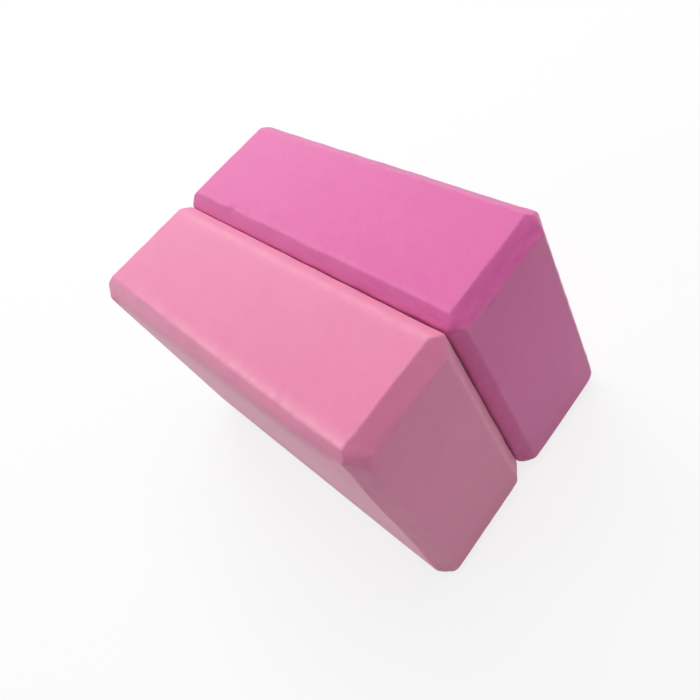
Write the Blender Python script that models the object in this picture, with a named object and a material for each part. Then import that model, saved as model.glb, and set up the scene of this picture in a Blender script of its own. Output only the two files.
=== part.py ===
"""A pair of foam yoga blocks, standing side by side on their long narrow faces.

Each block is one piece of closed-cell foam: a brick cut to size, with all twelve
edges planed off at 45 degrees, the eight corners eased and the arrises left slightly
soft. The pair stands with X along the blocks' length, Y across the two blocks and Z
up. The origin is on the floor, midway between the blocks.
"""

import itertools
import math

import bmesh
import bpy
from mathutils import Vector

# Driving dimensions of one block, in metres.
BLOCK_LENGTH = 0.2286
BLOCK_THICKNESS = 0.0762
BLOCK_HEIGHT = 0.1524

# The 45 degree cut takes this much off both faces that meet at an edge.
EDGE_CUT = 0.0082

# Each corner is eased square to its diagonal, this far below the point where three cuts meet.
CORNER_EASE = 0.0014

# How far the softening of each arris reaches into the faces beside it.
ARRIS_REACH = 0.0008
ARRIS_SEGMENTS = 3
SHARPEST_FLAT_JOIN = math.radians(30.0)

# The blocks stand face to face, with only this between them.
PAIR_GAP = 0.0003

# Foam colours, as linear RGB.
PALE_PINK = (0.82, 0.26, 0.43)
DEEP_PINK = (0.74, 0.16, 0.42)
FOAM_ROUGHNESS = 0.62

# Points closer than this to a cutting plane count as lying on it.
CUT_TOLERANCE = 1e-7


def clear_scene():
    for obj in list(bpy.data.objects):
        bpy.data.objects.remove(obj)


def foam_material(name, colour):
    material = bpy.data.materials.new(name)
    material.use_nodes = True
    shader = material.node_tree.nodes["Principled BSDF"]
    shader.inputs["Base Color"].default_value = (*colour, 1.0)
    shader.inputs["Roughness"].default_value = FOAM_ROUGHNESS
    shader.inputs["Metallic"].default_value = 0.0
    return material


def add_brick(bm, size):
    """A plain brick centred on the origin."""
    brick = bmesh.ops.create_cube(bm, size=1.0)
    bmesh.ops.scale(bm, vec=size, verts=brick["verts"])


def plane_off(bm, point, normal):
    """Cuts away what lies beyond the plane and closes the cut with one flat face."""
    everything = bm.verts[:] + bm.edges[:] + bm.faces[:]
    cut = bmesh.ops.bisect_plane(
        bm,
        geom=everything,
        dist=CUT_TOLERANCE,
        plane_co=point,
        plane_no=normal,
        clear_outer=True,
    )
    rim = [item for item in cut["geom_cut"] if isinstance(item, bmesh.types.BMEdge)]
    bmesh.ops.contextual_create(bm, geom=rim)


def plane_all_edges(bm, size, leg):
    """Planes the twelve edges at 45 degrees, so that three cuts meet in a mitre at each corner."""
    for first, second in itertools.combinations(range(3), 2):
        for first_side, second_side in itertools.product((-1, 1), repeat=2):
            normal = Vector((0, 0, 0))
            normal[first] = first_side
            normal[second] = second_side
            edge_middle = Vector((0, 0, 0))
            edge_middle[first] = first_side * size[first] / 2
            edge_middle[second] = second_side * size[second] / 2
            plane_off(bm, edge_middle - normal * (leg / 2), normal.normalized())


def ease_corners(bm, size, leg, ease):
    """Takes the point off each corner, where the mitre of three cuts leaves it sharp."""
    for signs in itertools.product((-1, 1), repeat=3):
        outward = Vector(signs)
        corner = Vector([sign * side / 2 for sign, side in zip(signs, size)])
        mitre_point = corner - outward * (leg / 2)
        outward.normalize()
        plane_off(bm, mitre_point - outward * ease, outward)


def block_mesh(name, size):
    """The planed brick, resting on the origin's plane."""
    bm = bmesh.new()
    add_brick(bm, size)
    plane_all_edges(bm, size, EDGE_CUT)
    ease_corners(bm, size, EDGE_CUT, CORNER_EASE)
    bmesh.ops.translate(bm, vec=(0, 0, size.z / 2), verts=bm.verts)
    bmesh.ops.recalc_face_normals(bm, faces=bm.faces)
    mesh = bpy.data.meshes.new(name)
    bm.to_mesh(mesh)
    bm.free()
    return mesh


def soften_arrises(block):
    """Rounds each join between two cuts by a hair, as the foam gives there."""
    bevel = block.modifiers.new("soft_arrises", "BEVEL")
    bevel.width = ARRIS_REACH
    bevel.segments = ARRIS_SEGMENTS
    bevel.limit_method = "ANGLE"
    bevel.angle_limit = SHARPEST_FLAT_JOIN
    bevel.use_clamp_overlap = True


def add_block(name, side, material, pair):
    """One block, on the side of the pair's middle plane that the sign of side gives."""
    size = Vector((BLOCK_LENGTH, BLOCK_THICKNESS, BLOCK_HEIGHT))
    mesh = block_mesh(name, size)
    mesh.materials.append(material)
    block = bpy.data.objects.new(name, mesh)
    bpy.context.scene.collection.objects.link(block)
    block.parent = pair
    block.location = (0, side * (BLOCK_THICKNESS + PAIR_GAP) / 2, 0)
    soften_arrises(block)
    return block


def add_pair():
    """An empty on the floor between the blocks, which carries both."""
    pair = bpy.data.objects.new("block_pair", None)
    bpy.context.scene.collection.objects.link(pair)
    return pair


def main():
    clear_scene()
    pair = add_pair()
    add_block("front_block", -1, foam_material("pale_pink_foam", PALE_PINK), pair)
    add_block("rear_block", 1, foam_material("deep_pink_foam", DEEP_PINK), pair)


main()
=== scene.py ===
"""The look of a pair of foam yoga blocks: planed closed-cell foam under plain studio light."""

import itertools
import math
from typing import NamedTuple

import bpy
import numpy as np
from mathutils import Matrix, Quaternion, Vector

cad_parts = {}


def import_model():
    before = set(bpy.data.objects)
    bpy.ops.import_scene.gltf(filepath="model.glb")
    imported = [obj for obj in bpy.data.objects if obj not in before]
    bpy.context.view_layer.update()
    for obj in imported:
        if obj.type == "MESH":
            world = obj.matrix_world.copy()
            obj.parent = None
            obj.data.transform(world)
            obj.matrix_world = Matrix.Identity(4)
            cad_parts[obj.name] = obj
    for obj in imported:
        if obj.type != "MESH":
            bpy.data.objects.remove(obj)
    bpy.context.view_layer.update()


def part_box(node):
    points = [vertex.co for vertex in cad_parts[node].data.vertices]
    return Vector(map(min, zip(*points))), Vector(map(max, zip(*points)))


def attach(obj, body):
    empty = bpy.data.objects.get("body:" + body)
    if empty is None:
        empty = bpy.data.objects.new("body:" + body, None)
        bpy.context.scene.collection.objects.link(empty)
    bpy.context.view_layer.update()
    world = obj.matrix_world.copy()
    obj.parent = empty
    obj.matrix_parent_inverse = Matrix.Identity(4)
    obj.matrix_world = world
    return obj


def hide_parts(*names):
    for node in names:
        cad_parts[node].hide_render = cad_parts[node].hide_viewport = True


# All sizes are in metres.
MM = 0.001

# The camera, as the photograph was taken.
CAMERA_PLACE = Vector((0.27795, -0.09017, 0.39635))
CAMERA_AIM = Vector((-0.02051, 0.02519, 0.0762))
CAMERA_ROLL = math.radians(34.439)
CAMERA_LENS_MM = 36.377
CAMERA_SHIFT_Y = -0.09
CAMERA_NEAREST = 0.01
CAMERA_FURTHEST = 50
SENSOR_MM = 36.0

# The sides of a block, each as its axis and the end of that axis. The near end is the camera's.
TOP, BASE = (2, 1), (2, -1)
NEAR_END, FAR_END = (0, 1), (0, -1)
FRONT, BACK = (1, -1), (1, 1)

# A block's twelve edges are planed off at about 45 degrees, and its corners are eased below the
# mitres' points.
EDGE_CUT = 8.2 * MM
CORNER_EASE = 1.4 * MM
CORNER_CUT = 1.5 * EDGE_CUT + math.sqrt(3) * CORNER_EASE

# The edges that were planed unevenly, by the two sides that meet there: how far the cut reaches into
# the first side, at the edge's low and high ends, and how far into the second.
PALE_CUTS = {
    (TOP, FRONT): (10.2 * MM, 7.3 * MM, 8.6 * MM),
    (TOP, BACK): (7.8 * MM, 6.2 * MM, 4.5 * MM),
    (TOP, NEAR_END): (8.3 * MM, 8.7 * MM, 9.3 * MM),
    (TOP, FAR_END): (7.0 * MM, 9.3 * MM, 8.2 * MM),
    (BACK, NEAR_END): (7.0 * MM, 6.0 * MM, 7.8 * MM),
    (NEAR_END, BASE): (6.2 * MM, 9.2 * MM, 8.2 * MM),
    (BACK, BASE): (8.2 * MM, 6.0 * MM, 7.4 * MM),
}
DEEP_CUTS = {
    (TOP, FRONT): (7.8 * MM, 7.9 * MM, 6.6 * MM),
    (TOP, NEAR_END): (8.2 * MM, 9.1 * MM, 8.3 * MM),
    (TOP, BACK): (8.5 * MM, 7.6 * MM, 6.7 * MM),
    (TOP, FAR_END): (9.0 * MM, 11.4 * MM, 8.2 * MM),
    (NEAR_END, FRONT): (8.4 * MM, 7.1 * MM, 7.9 * MM),
    (NEAR_END, BACK): (6.6 * MM, 9.0 * MM, 7.9 * MM),
    (NEAR_END, BASE): (6.4 * MM, 8.0 * MM, 8.2 * MM),
    (FRONT, BASE): (8.2 * MM, 6.0 * MM, 7.4 * MM),
}

# The corners that were eased unevenly, by the ends of the three axes: how far the cut reaches along
# each of them.
BASE_CORNERS = {ends + (-1,): (12.6 * MM,) * 3 for ends in itertools.product((-1, 1), repeat=2)}
PALE_CORNERS = {
    **BASE_CORNERS,
    (-1, -1, 1): (12.8 * MM,) * 3,
    (1, -1, 1): (9.1 * MM, 24.4 * MM, 21.7 * MM),
    (1, 1, 1): (9.6 * MM,) * 3,
    (1, 1, -1): (9.7 * MM, 15.0 * MM, 26.4 * MM),
    (1, -1, -1): (11.0 * MM,) * 3,
}
DEEP_CORNERS = {
    **BASE_CORNERS,
    (1, -1, 1): (12.6 * MM,) * 3,
    (1, -1, -1): (11.2 * MM,) * 3,
    (1, 1, -1): (10.0 * MM, 18.0 * MM, 18.0 * MM),
}

# The front sides of both blocks lean. This is how far each has sunk in at three of its corners.
# Where that is below 0, the flat side is left as it is.
PALE_LEANS = {FRONT: {(-1, -1, 1): 0.0, (1, -1, 1): 1.8 * MM, (1, -1, -1): -0.8 * MM}}
DEEP_LEANS = {FRONT: {(-1, -1, 1): 0.0, (1, -1, 1): 1.1 * MM, (1, -1, -1): 0.9 * MM}}

# How round the arrises are, how much rounder near the corners, and how much paler they are painted,
# as rubbed wear and painted highlight.
ARRIS_RADIUS = 1.2 * MM
TOP_CORNER_RADIUS = 2.6 * MM
BASE_CORNER_RADIUS = 5.5 * MM
CORNER_REACH = 7.0 * MM
ARRIS_WEAR_AND_HIGHLIGHT = 0.25

# The arrises that are unlike the rest, by the two planes that meet there: their radius, and their
# paling as rubbed wear and painted highlight.
PALE_ARRISES = {
    ("lean", (TOP, FRONT)): (9.0 * MM, 0.0),
    (NEAR_END, (1, -1, 1)): (8.0 * MM, 0.0),
    (TOP, (TOP, FRONT)): (0.9 * MM, 0.25),
    (TOP, (TOP, NEAR_END)): (0.8 * MM, 0.3),
    (TOP, (TOP, BACK)): (5.5 * MM, 0.1),
    (BACK, (TOP, BACK)): (1.4 * MM, 0.1),
    (NEAR_END, (TOP, NEAR_END)): (3.0 * MM, 0.1),
    (NEAR_END, (BACK, NEAR_END)): (2.0 * MM, 0.45),
    (BACK, (BACK, NEAR_END)): (2.0 * MM, 0.0),
}
DEEP_ARRISES = {
    ("lean", (TOP, FRONT)): (1.4 * MM, 0.0),
    ("lean", (NEAR_END, FRONT)): (2.0 * MM, 0.0),
    (NEAR_END, (TOP, NEAR_END)): (1.6 * MM, 0.5),
    (BACK, (TOP, BACK)): (3.0 * MM, 0.0),
}

# How far such an arris reaches over its planes, and how far before the planes that cross it its
# radius fades. A plane crosses an arris if its normal leans along it by more than this share.
ARRIS_REACH = 6.0 * MM
ARRIS_END_REACH = 4.0 * MM
CROSSING_SHARE = 0.3

# Broader bands painted paler beside some arrises, as painted highlight and some rubbed wear, by the
# two planes that meet at an arris: how far they spread over the first plane and over the second, and
# how strong they are at the far and near ends.
PALE_HIGHLIGHT_AND_WEAR_BANDS = {
    (TOP, (TOP, FRONT)): (3.2 * MM, 0.6 * MM, 0.05, 1.4),
    (TOP, (TOP, BACK)): (1.3 * MM, 1.4 * MM, 0.35, 0.75),
}
DEEP_HIGHLIGHT_AND_WEAR_BANDS = {(TOP, (TOP, FRONT)): (1.5 * MM, 0.6 * MM, 0.15, 0.4)}

# No side or cut is quite flat. Long shallow waves sink the sides a little, and shorter ones waver
# the cuts.
SIDE_WAVE_DEPTH = 0.12 * MM
SIDE_WAVE_LENGTHS = (20 * MM, 65 * MM)
CUT_WAVE_DEPTH = 0.32 * MM
CUT_WAVE_LENGTHS = (5 * MM, 30 * MM)
WAVES_PER_PLANE = 6
PALE_SEED = 1
DEEP_SEED = 2

# Where the foam is pushed in or out, in millimetres: place in the part, reach, and how far it is
# pushed along each axis. The first three are the pale block's near end, where its front side curves
# back. The next two round out its near base corner and its far top one. The rest are small dents in
# the arrises.
PUSHES_MM = (
    ((116, -76, 140), 25, (0, 2.4, 0)),
    ((116, -76, 97), 30, (0, 1.3, 0)),
    ((116, -76, 55), 30, (0, 1.6, 0)),
    ((110.6, -72.7, 3.7), 5.5, (0.5, -0.5, -0.5)),
    ((-109.0, -72.0, 147.6), 4.2, (-1.4, 0, 0)),
    ((-64.4, 8.0, 152.4), 2.6, (0, 0.6, -0.8)),
    ((-49.5, 8.7, 152.4), 2.0, (0, 0.3, -0.4)),
    ((-27.2, 13.3, 152.4), 2.4, (0, 0, -0.2)),
    ((-40.5, -67.0, 152.4), 2.0, (0, 0.3, -0.4)),
    ((105.7, -58.1, 152.4), 1.8, (-0.3, 0, -0.4)),
    ((114.3, -53.5, 144.0), 2.4, (-0.5, 0, -0.3)),
    ((114.3, -46.0, 143.7), 2.0, (-0.4, 0, -0.3)),
    ((114.3, 24.6, 144.5), 2.2, (-0.6, 0, -0.3)),
)

# A skin's grid lines lie close together over the cuts and their arrises, and further apart on the
# flats.
FINE_STEP = 0.38 * MM
FINE_REACH = 11 * MM
FLAT_STEP = 3.0 * MM
STEP_GROWTH = 0.35

# The core that every point of a block's skin is cast out from, and the steps that find the skin.
CORE_DEPTH = 16 * MM
CAST_STEPS = 12

# Two planes that meet at 45 degrees and are blended this sharply have an arris of radius 1.
SHARPNESS_FOR_RADIUS = math.cos(math.pi / 8) / math.sin(math.pi / 8) ** 2

# Foam colours, as linear RGB, and what is added to each channel where an arris is painted fully
# paler, as rubbed wear and painted highlight.
PALE_PINK = (0.761, 0.192, 0.365)
DEEP_PINK = (0.675, 0.086, 0.339)
WEAR_AND_HIGHLIGHT_LIFT = (0.08, 0.15, 0.11)

# The noises that the foam's unevenness is made of, as size and detail, and the size of its cells.
NOISES = {"clouds": (26 * MM, 2.0), "mottle": (7 * MM, 2.0), "grain": (0.9 * MM, 1.0)}
CELL_SIZE = 0.45 * MM

# The foam's tone: what each pattern adds to it, and the sums that are darkest and palest. The
# darkest foam has this share of its colour, and the palest is this far on the way to a bright white.
TONE_WEIGHTS = {"clouds": 0.30, "mottle": 0.25, "grain": 0.6, "cells": -0.35}
TONE_RANGE = (0.08, 0.78)
DARKEST_SHARE = 0.955
PALEST_SHARE = 0.045
BRIGHT_WHITE = 1.3

# The rubbed wear and painted highlight show in patches: the mottle's values where they don't show at
# all and where they fully do.
PATCH_RANGE = (0.1, 0.6)

# The foam's surface: what each pattern adds to its relief, how deep that is, and how its roughness
# follows the grain.
RELIEF_WEIGHTS = {"cells": -0.6, "grain": 0.5, "mottle": 0.3}
RELIEF_DEPTH = 0.03 * MM
GRAIN_RANGE = (0.25, 0.75)
ROUGHNESS_RANGE = (0.46, 0.56)
GLOSS = 0.30
SHEEN = 0.33

# Soft lamps around the blocks: azimuth from +X towards +Y, elevation, and power in watts.
LAMPS = {
    "overhead": (0, 90, 4.1),
    "back": (90, 70, 7.4),
    "back_left": (135, 50, 6.6),
    "back_right": (45, 50, 1.8),
    "left": (160, 30, 7.5),
    "front_left": (225, 20, 5.2),
}
LAMP_DISTANCE = 1.6
LAMP_WIDTH = 1.0
LAMP_AIM = Vector((0, 0, 0.08))
SURROUND_LIGHT = 0.25
WHITE = (1, 1, 1, 1)

# The floor: how far it spreads, how far it lies below the blocks, its colour to the light, and the
# share of what the eye sees on it that no shadow darkens.
FLOOR_SPREAD = 4.0
FLOOR_DROP = 0.1 * MM
FLOOR_COLOUR = (0.9, 0.9, 0.9, 1)
FLOOR_UNSHADED_SHARE = 0.8


class Shaping(NamedTuple):
    """What hand planing and handling left uneven on one block, its painted highlights, its waves'
    seed.
    """

    cuts: dict
    corners: dict
    leans: dict
    arrises: dict
    highlight_and_wear_bands: dict
    seed: int


PALE_SHAPING = Shaping(PALE_CUTS, PALE_CORNERS, PALE_LEANS, PALE_ARRISES, PALE_HIGHLIGHT_AND_WEAR_BANDS, PALE_SEED)
DEEP_SHAPING = Shaping(DEEP_CUTS, DEEP_CORNERS, DEEP_LEANS, DEEP_ARRISES, DEEP_HIGHLIGHT_AND_WEAR_BANDS, DEEP_SEED)


def put_in_scene(name, data):
    """A new object in the scene."""
    made = bpy.data.objects.new(name, data)
    bpy.context.scene.collection.objects.link(made)
    return made


def camera():
    data = bpy.data.cameras.new("camera")
    data.lens = CAMERA_LENS_MM
    data.sensor_width = SENSOR_MM
    data.shift_y = CAMERA_SHIFT_Y
    data.clip_start = CAMERA_NEAREST
    data.clip_end = CAMERA_FURTHEST
    eye = put_in_scene("camera", data)
    eye.location = CAMERA_PLACE
    eye.rotation_mode = "QUATERNION"
    aim = (CAMERA_AIM - CAMERA_PLACE).to_track_quat("-Z", "Y")
    eye.rotation_quaternion = aim @ Quaternion((0, 0, 1), -CAMERA_ROLL)
    bpy.context.scene.camera = eye


def grid_lines(length):
    """Places along one side of a brick, from corner to corner, the same from both ends."""
    half = [0.0]
    while half[-1] < length / 2:
        beyond = max(0.0, half[-1] - FINE_REACH)
        half.append(half[-1] + min(FLAT_STEP, FINE_STEP + STEP_GROWTH * beyond))
    half = np.array(half)
    # Draws the flat's lines together a little so that the last one falls on the middle.
    on_flat = half > FINE_REACH
    drawn = (length / 2 - FINE_REACH) / (half[-1] - FINE_REACH)
    half[on_flat] = FINE_REACH + (half[on_flat] - FINE_REACH) * drawn
    return np.concatenate([half, length - half[-2::-1]]) - length / 2


def brick_skin(size):
    """Points on a brick's surface, centred on the origin, and the quads that join them, facing out."""
    lines = [grid_lines(length) for length in size]
    shape = [len(places) for places in lines]
    on_skin = np.zeros(shape, bool)
    for axis in range(3):
        ends = [slice(None)] * 3
        ends[axis] = [0, -1]
        on_skin[tuple(ends)] = True
    index = np.full(shape, -1)
    index[on_skin] = np.arange(on_skin.sum())
    points = np.stack([grid[on_skin] for grid in np.meshgrid(*lines, indexing="ij")], axis=1)
    quads = []
    for axis, end in itertools.product(range(3), (0, -1)):
        side = np.take(index, end, axis=axis)
        ring = [side[:-1, :-1], side[1:, :-1], side[1:, 1:], side[:-1, 1:]]
        # The two axes left run left-handed about Y, so its sides turn the other way.
        if (end == 0) != (axis == 1):
            ring.reverse()
        quads.append(np.stack([corner.ravel() for corner in ring], axis=1))
    return points, np.concatenate(quads)


def plane_through(points):
    """Normal and distance of the plane through three points, facing away from the origin."""
    first, second, third = points
    normal = np.cross(second - first, third - first)
    normal /= np.linalg.norm(normal)
    distance = normal @ first
    return (normal, distance) if distance > 0 else (-normal, -distance)


def side_plane(half, side):
    axis, end = side
    normal = np.zeros(3)
    normal[axis] = end
    return normal, half[axis]


def leaning_plane(half, side, sunk):
    """The plane of a side that has sunk in by so much at three of its corners."""
    axis, end = side
    points = []
    for corner, depth in sunk.items():
        point = np.array(corner) * half
        point[axis] -= end * depth
        points.append(point)
    return plane_through(points)


def edge_plane(half, first, second, cut):
    """The plane that takes off the edge between two sides."""
    reach_low, reach_high, reach_second = cut
    along = 3 - first[0] - second[0]
    places = ((-1, 0.0, reach_low), (1, 0.0, reach_high), (0, reach_second, 0.0))
    points = []
    for end, below_first, in_from_second in places:
        point = np.zeros(3)
        point[along] = end * half[along]
        point[first[0]] = first[1] * (half[first[0]] - below_first)
        point[second[0]] = second[1] * (half[second[0]] - in_from_second)
        points.append(point)
    return plane_through(points)


def corner_plane(half, ends, reaches):
    """The plane that eases the corner at these ends of the three axes."""
    corner = np.array(ends) * half
    points = []
    for axis in range(3):
        point = corner.copy()
        point[axis] -= ends[axis] * reaches[axis]
        points.append(point)
    return plane_through(points)


def planed_planes(half, shaping):
    """A block's sides, edge cuts and eased corners, each by its name as a normal and a distance."""
    sides = list(itertools.product(range(3), (-1, 1)))
    planes = {side: side_plane(half, side) for side in sides}
    for side, sunk in shaping.leans.items():
        planes["lean"] = leaning_plane(half, side, sunk)
    for pair in itertools.combinations(sides, 2):
        if pair[0][0] == pair[1][0]:
            continue
        name = pair[::-1] if pair[::-1] in shaping.cuts else pair
        planes[name] = edge_plane(half, *name, shaping.cuts.get(name, (EDGE_CUT,) * 3))
    for ends in itertools.product((-1, 1), repeat=3):
        planes[ends] = corner_plane(half, ends, shaping.corners.get(ends, (CORNER_CUT,) * 3))
    return planes


def normals_and_distances(planes):
    normals, distances = zip(*planes.values())
    return np.array(normals), np.array(distances)


def sunk_in_waves(points, planes, seed):
    """How far each plane has sunk at each point."""
    rng = np.random.default_rng(seed)
    sunk = np.empty((len(points), len(planes)))
    for column, name in enumerate(planes):
        ways = rng.normal(size=(WAVES_PER_PLANE, 3))
        ways /= np.linalg.norm(ways, axis=1, keepdims=True)
        is_side = name in (TOP, BASE, NEAR_END, FAR_END, FRONT, BACK)
        span = SIDE_WAVE_LENGTHS if is_side else CUT_WAVE_LENGTHS
        lengths = rng.uniform(*span, size=(WAVES_PER_PLANE, 1))
        starts = rng.uniform(0, 2 * math.pi, size=WAVES_PER_PLANE)
        waves = np.sin(points @ (2 * math.pi * ways / lengths).T + starts).mean(axis=1)
        # A side only sinks, so that it stays inside the brick. A cut goes both ways.
        side_depth = SIDE_WAVE_DEPTH * (0.5 + 0.5 * waves)
        sunk[:, column] = side_depth if is_side else CUT_WAVE_DEPTH * waves
    return sunk


def pushed_along(points):
    """How far the foam has been pushed along each axis, at each point of the part."""
    pushed = np.zeros(points.shape)
    for place, reach, push in PUSHES_MM:
        away = np.linalg.norm(points - np.array(place) * MM, axis=1)
        pushed += np.exp(-((away / (reach * MM)) ** 2))[:, None] * (np.array(push) * MM)
    return pushed


def arris_form(points, half, planes, arrises):
    """The radius of each point's nearest arris, and its paling as rubbed wear and painted highlight.
    """
    radius = np.full(len(points), ARRIS_RADIUS)
    arris_wear_and_highlight = np.full(len(points), ARRIS_WEAR_AND_HIGHLIGHT)
    normals, distances = normals_and_distances(planes)
    below = points @ normals.T - distances
    order = list(planes)
    for (one, other), (arris_radius, own_wear_and_highlight) in arrises.items():
        first, second = order.index(one), order.index(other)
        near = np.exp(-(below[:, first] ** 2 + below[:, second] ** 2) / ARRIS_REACH**2)
        arris_wear_and_highlight += (own_wear_and_highlight - ARRIS_WEAR_AND_HIGHLIGHT) * near
        # The arris keeps its own radius up to the planes that cross it.
        along = np.cross(normals[first], normals[second])
        crossing = np.abs(normals @ along) > CROSSING_SHARE * np.linalg.norm(along)
        to_end = np.abs(below[:, crossing]).min(axis=1)
        near *= 1 - np.exp(-((to_end / ARRIS_END_REACH) ** 2))
        radius += (arris_radius - ARRIS_RADIUS) * near
    from_corner = np.linalg.norm(np.abs(points) - (half - EDGE_CUT / 2), axis=1)
    near = np.exp(-((from_corner / CORNER_REACH) ** 2))
    corner_radius = np.where(points[:, 2] > 0, TOP_CORNER_RADIUS, BASE_CORNER_RADIUS)
    rounder = ARRIS_RADIUS + (corner_radius - ARRIS_RADIUS) * near
    return np.maximum(radius, rounder), arris_wear_and_highlight.clip(0, 1)


def wear_and_highlight_bands(points, half, planes, highlight_and_wear_bands):
    """How pale each point is painted by the bands beside these arrises, as highlight and some wear."""
    wear_and_highlight = np.zeros(len(points))
    along = (points[:, 0] / half[0] + 1) / 2
    for (one, other), (over_one, over_other, at_far_end, at_near_end) in highlight_and_wear_bands.items():
        below_one = points @ planes[one][0] - planes[one][1]
        below_other = points @ planes[other][0] - planes[other][1]
        near = np.exp(-((below_one / over_other) ** 2) - (below_other / over_one) ** 2)
        wear_and_highlight = np.maximum(wear_and_highlight, near * (at_far_end + (at_near_end - at_far_end) * along))
    return wear_and_highlight.clip(0, 1)


def plane_weights(points, normals, limits, radius):
    """How far each point stands outside the soft-edged solid, and each plane's share in that."""
    sharpness = (SHARPNESS_FOR_RADIUS / radius)[:, None]
    over = (points @ normals.T - limits) * sharpness
    top = over.max(axis=1, keepdims=True)
    weight = np.exp(over - top)
    total = weight.sum(axis=1, keepdims=True)
    return (top + np.log(total))[:, 0] / sharpness[:, 0], weight / total


def cast_out(points, half, normals, limits, radius):
    """The points cast out from the core to the soft-edged solid, and how near each is to an arris."""
    foot = np.clip(points, CORE_DEPTH - half, half - CORE_DEPTH)
    ray = points - foot
    reach = np.linalg.norm(ray, axis=1)
    ray /= reach[:, None]
    for _ in range(CAST_STEPS):
        height, weights = plane_weights(foot + ray * reach[:, None], normals, limits, radius)
        reach -= height / (weights @ normals * ray).sum(axis=1)
    points = foot + ray * reach[:, None]
    _, weights = plane_weights(points, normals, limits, radius)
    return points, np.sqrt(np.clip(2 - 2 * weights.max(axis=1), 0, 1))


def block_skin(low, high, shaping):
    """One block's points in the part, its quads, and how much wear and painted highlight each point
    has.
    """
    half = (high - low) / 2
    middle = (low + high) / 2
    skin, quads = brick_skin(high - low)
    planes = planed_planes(half, shaping)
    normals, distances = normals_and_distances(planes)
    limits = distances - sunk_in_waves(skin, planes, shaping.seed)
    limits += pushed_along(skin + middle) @ normals.T
    points, _ = cast_out(skin, half, normals, limits, np.full(len(skin), ARRIS_RADIUS))
    radius, arris_wear_and_highlight = arris_form(points, half, planes, shaping.arrises)
    points, arris = cast_out(skin, half, normals, limits, radius)
    # Paler arrises and bands in one share: partly rubbed wear, partly painted highlight.
    wear_and_highlight = np.maximum(arris * arris_wear_and_highlight, wear_and_highlight_bands(points, half, planes, shaping.highlight_and_wear_bands))
    return points + middle, quads, wear_and_highlight


def foam_block(name, node, body, material, shaping):
    """One block, in the place of its CAD node."""
    low, high = (np.array(corner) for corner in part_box(node))
    points, quads, wear_and_highlight = block_skin(low, high, shaping)
    mesh = bpy.data.meshes.new(name)
    mesh.from_pydata(points.tolist(), [], quads.tolist())
    mesh.shade_smooth()
    # This attribute carries the paler arrises: rubbed wear and painted highlight.
    mesh.attributes.new("wear_and_highlight", "FLOAT", "POINT").data.foreach_set("value", wear_and_highlight)
    mesh.materials.append(material)
    block = put_in_scene(name, mesh)
    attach(block, body)
    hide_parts(node)


def set_inputs(tree, node, inputs):
    """Sets each input to a value, or joins it to another node's output."""
    for socket, value in inputs.items():
        if isinstance(value, bpy.types.NodeSocket):
            tree.links.new(value, node.inputs[socket])
        else:
            node.inputs[socket].default_value = value


def add_node(tree, kind, inputs=None, **settings):
    node = tree.nodes.new(kind)
    for setting, value in settings.items():
        setattr(node, setting, value)
    set_inputs(tree, node, inputs or {})
    return node


def weighted_sum(tree, patterns, weights):
    """The sum of the patterns, each times its own weight."""
    total = 0.0
    for name, weight in weights.items():
        inputs = {0: patterns[name], 1: weight, 2: total}
        total = add_node(tree, "ShaderNodeMath", inputs, operation="MULTIPLY_ADD").outputs[0]
    return total


def mapped(tree, value, source, target=(0.0, 1.0)):
    """The value, carried over from the source range to the target range."""
    inputs = {"Value": value, "From Min": source[0], "From Max": source[1]}
    inputs.update({"To Min": target[0], "To Max": target[1]})
    return add_node(tree, "ShaderNodeMapRange", inputs).outputs[0]


def mixed_colour(tree, factor, first, second):
    """The first colour where the factor is 0 and the second where it is 1."""
    # A mix of colours has them at inputs 6 and 7, and its result at output 2.
    mix = add_node(tree, "ShaderNodeMix", {0: factor}, data_type="RGBA")
    set_inputs(tree, mix, {6: first, 7: second})
    return mix.outputs[2]


def mixed_shader(tree, factor, first, second):
    """The first node's shader where the factor is 0 and the second's where it is 1."""
    inputs = {0: factor, 1: first.outputs[0], 2: second.outputs[0]}
    return add_node(tree, "ShaderNodeMixShader", inputs).outputs[0]


def foam_patterns(tree):
    """The patterns that the foam's unevenness is made of, each by its name."""
    place = add_node(tree, "ShaderNodeTexCoord").outputs["Object"]
    patterns = {}
    for name, (size, detail) in NOISES.items():
        inputs = {"Vector": place, "Scale": 1 / size, "Detail": detail}
        patterns[name] = add_node(tree, "ShaderNodeTexNoise", inputs).outputs[0]
    cells = add_node(tree, "ShaderNodeTexVoronoi", {"Vector": place, "Scale": 1 / CELL_SIZE})
    patterns["cells"] = cells.outputs["Distance"]
    return patterns


def foam_colour(tree, patterns, colour):
    """The foam's colour, mottled a little darker and paler, and paler for wear and painted highlight.
    """
    tone = mapped(tree, weighted_sum(tree, patterns, TONE_WEIGHTS), TONE_RANGE)
    darkest = [DARKEST_SHARE * channel for channel in colour]
    palest = [channel + PALEST_SHARE * (BRIGHT_WHITE - channel) for channel in colour]
    plain = mixed_colour(tree, tone, (*darkest, 1), (*palest, 1))
    wear_and_highlight = add_node(tree, "ShaderNodeAttribute", attribute_name="wear_and_highlight").outputs["Fac"]
    patchy = mapped(tree, patterns["mottle"], PATCH_RANGE)
    wear_and_highlight_share = add_node(tree, "ShaderNodeMath", {0: wear_and_highlight, 1: patchy}, operation="MULTIPLY")
    # The paler colour at the arrises is partly rubbed wear and partly painted highlight.
    wear_and_highlight_colour = [channel + lift for channel, lift in zip(colour, WEAR_AND_HIGHLIGHT_LIFT)]
    return mixed_colour(tree, wear_and_highlight_share.outputs[0], plain, (*wear_and_highlight_colour, 1))


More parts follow.
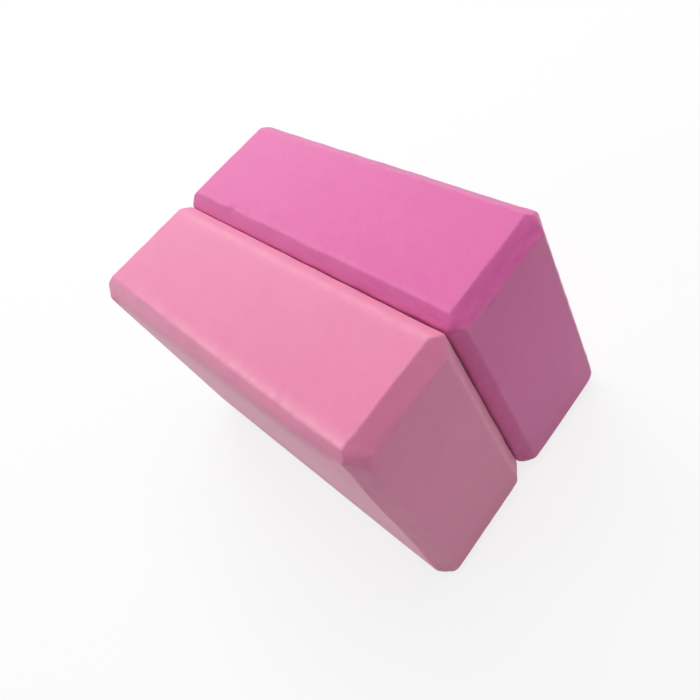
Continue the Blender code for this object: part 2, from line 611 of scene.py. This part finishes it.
def foam_material(name, colour):
    """Skived closed-cell foam: fine cells, faint mottling, arrises paler with wear and painted
    highlight.
    """
    material = bpy.data.materials.new(name)
    material.use_nodes = True
    tree = material.node_tree
    patterns = foam_patterns(tree)
    relief = weighted_sum(tree, patterns, RELIEF_WEIGHTS)
    bump = {"Height": relief, "Strength": 1.0, "Distance": RELIEF_DEPTH}
    looks = {
        "Base Color": foam_colour(tree, patterns, colour),
        "Roughness": mapped(tree, patterns["grain"], GRAIN_RANGE, ROUGHNESS_RANGE),
        "Normal": add_node(tree, "ShaderNodeBump", bump).outputs[0],
        "Specular IOR Level": GLOSS,
        "Sheen Weight": SHEEN,
    }
    set_inputs(tree, tree.nodes["Principled BSDF"], looks)
    return material


def seen_rays(tree):
    """1 for rays that the eye follows straight, off gloss or through glass, and 0 for the rest."""
    path = add_node(tree, "ShaderNodeLightPath").outputs
    seen = path["Is Camera Ray"]
    for kind in ("Is Glossy Ray", "Is Transmission Ray"):
        either = {0: seen, 1: path[kind]}
        seen = add_node(tree, "ShaderNodeMath", either, operation="MAXIMUM").outputs[0]
    return seen


def floor_material():
    """White to the eye and in reflections, apart from the blocks' shadow, and pale to the light."""
    material = bpy.data.materials.new("floor")
    material.use_nodes = True
    tree = material.node_tree
    tree.nodes.clear()
    pale = add_node(tree, "ShaderNodeBsdfDiffuse", {"Color": FLOOR_COLOUR})
    white = add_node(tree, "ShaderNodeEmission", {"Color": WHITE, "Strength": 1.0})
    shares = {0: seen_rays(tree), 1: FLOOR_UNSHADED_SHARE}
    unshaded = add_node(tree, "ShaderNodeMath", shares, operation="MULTIPLY").outputs[0]
    surface = mixed_shader(tree, unshaded, pale, white)
    add_node(tree, "ShaderNodeOutputMaterial", {"Surface": surface})
    return material


def floor():
    low, high = -FLOOR_SPREAD, FLOOR_SPREAD
    corners = [(low, low, 0), (high, low, 0), (high, high, 0), (low, high, 0)]
    mesh = bpy.data.meshes.new("floor")
    mesh.from_pydata(corners, [], [(0, 1, 2, 3)])
    mesh.materials.append(floor_material())
    ground = put_in_scene("floor", mesh)
    ground.location.z = -FLOOR_DROP


def surround():
    """White to the eye and in reflections, and a faint even light on the blocks."""
    world = bpy.data.worlds.new("surround")
    bpy.context.scene.world = world
    world.use_nodes = True
    tree = world.node_tree
    tree.nodes.clear()
    light = add_node(tree, "ShaderNodeBackground", {"Color": WHITE, "Strength": SURROUND_LIGHT})
    white = add_node(tree, "ShaderNodeBackground", {"Color": WHITE, "Strength": 1.0})
    surface = mixed_shader(tree, seen_rays(tree), light, white)
    add_node(tree, "ShaderNodeOutputWorld", {"Surface": surface})


def lamp(name, azimuth, elevation, power):
    data = bpy.data.lights.new(name, "AREA")
    data.shape = "SQUARE"
    data.size = LAMP_WIDTH
    data.energy = power
    light = put_in_scene(name, data)
    around, up = math.radians(azimuth), math.radians(elevation)
    level = math.cos(up)
    way = Vector((level * math.cos(around), level * math.sin(around), math.sin(up)))
    light.location = LAMP_AIM + way * LAMP_DISTANCE
    light.rotation_euler = (-way).to_track_quat("-Z", "Y").to_euler()


def main():
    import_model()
    bpy.context.scene.view_settings.view_transform = "Standard"
    camera()
    pale = foam_material("pale_foam", PALE_PINK)
    deep = foam_material("deep_foam", DEEP_PINK)
    foam_block("pale_foam_block", "front_block", "front", pale, PALE_SHAPING)
    foam_block("deep_foam_block", "rear_block", "rear", deep, DEEP_SHAPING)
    floor()
    surround()
    for name, (azimuth, elevation, power) in LAMPS.items():
        lamp(name, azimuth, elevation, power)


main()
